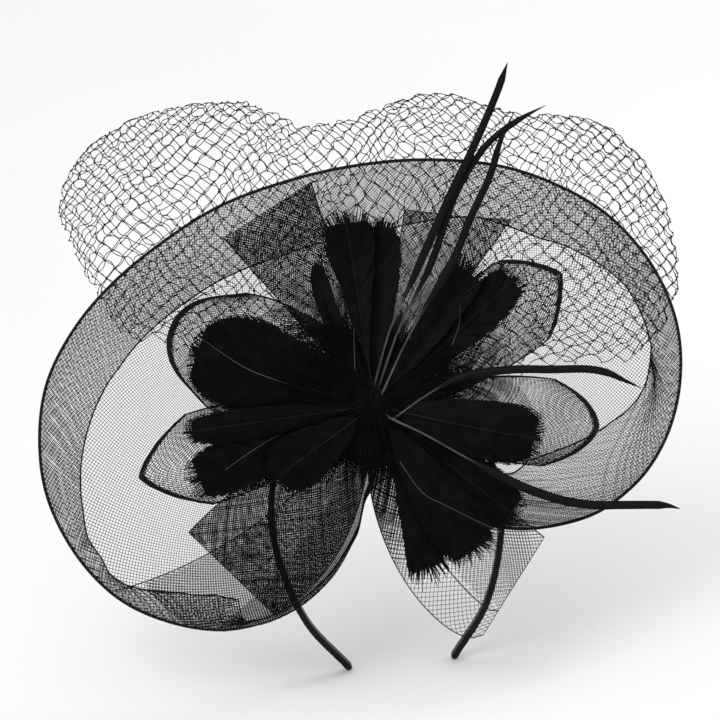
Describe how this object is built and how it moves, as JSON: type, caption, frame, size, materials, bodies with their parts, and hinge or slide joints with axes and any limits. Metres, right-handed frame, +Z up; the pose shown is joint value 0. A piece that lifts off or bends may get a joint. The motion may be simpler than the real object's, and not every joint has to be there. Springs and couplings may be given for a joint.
{
  "type": "fascinator headpiece",
  "caption": "Black crin fascinator hat with a curled kidney-shaped brim, net veil, crin bows, feathers and stripped quills, on a satin-wrapped headband.",
  "frame": {"origin": "middle of the inside of the headband's crown, where it rests on the head", "axes": "+X across the head to the right of the front view, +Z up, the brim faces -Y and up; the headband stands in the XZ plane"},
  "size_m": [0.363, 0.1364, 0.3373],
  "materials": {
    "satin": "black satin ribbon, soft sheen",
    "spring_steel": "thin spring strip",
    "felt": "matt black felt",
    "crin": "open diagonal nylon braid, slightly glossy threads",
    "edge_wire": "black nylon-covered wire",
    "net": "knotted diamond net",
    "feather": "dyed black feather with pale quill",
    "stripped_blade": "smooth dyed quill blade",
    "thread": "wound black thread",
    "clip_steel": "bright plated sheet steel"
  },
  "bodies": {
    "headband": {"headband_wrap": "satin", "headband_core": "spring_steel", "headband_tip_left": "satin", "headband_tip_right": "satin"},
    "hat": {"felt_base": "felt", "band_sleeve_left": "felt", "band_sleeve_right": "felt", "brim": "crin", "brim_wire": "edge_wire", "veil": "net", "crin_tail_bottom_left": "crin", "crin_tail_bottom_right": "crin", "crin_tail_top_left": "crin", "crin_tail_top_right": "crin", "crin_loop_upper_left": "crin", "crin_loop_lower_left": "crin", "crin_loop_upper_right": "crin", "crin_loop_right": "crin", "feather_top_left": "feather", "feather_top": "feather", "feather_top_curved": "feather", "feather_upper_left": "feather", "feather_left": "feather", "feather_lower_left": "feather", "feather_low_left": "feather", "feather_bottom": "feather", "feather_bottom_right": "feather", "feather_lower_right": "feather", "feather_right": "feather", "feather_upper_right": "feather", "feather_top_right": "feather", "spike_tall": "stripped_blade", "spike_bent": "stripped_blade", "spike_fork": "stripped_blade", "spike_right": "stripped_blade", "spike_lower_right": "stripped_blade", "flower_hub": "thread", "clip_lower_jaw": "clip_steel", "clip_pin": "clip_steel", "clip_spring": "clip_steel"},
    "clip_jaw": {"clip_upper_jaw": "clip_steel"}
  },
  "joints": [
    {"name": "hat_tilt", "type": "hinge", "parent": "headband", "child": "hat", "pos_m": [0, 0, 0.0019], "axis": [1, 0, 0], "range_deg": [-68, 12]},
    {"name": "clip_open", "type": "hinge", "parent": "hat", "child": "clip_jaw", "pos_m": [0.008, 0.00702, 0.01794], "axis": [0, -0.3746, -0.9272], "range_deg": [0, 28], "stiffness_Nm_per_rad": 0.08, "springref_deg": -17.19}
  ]
}
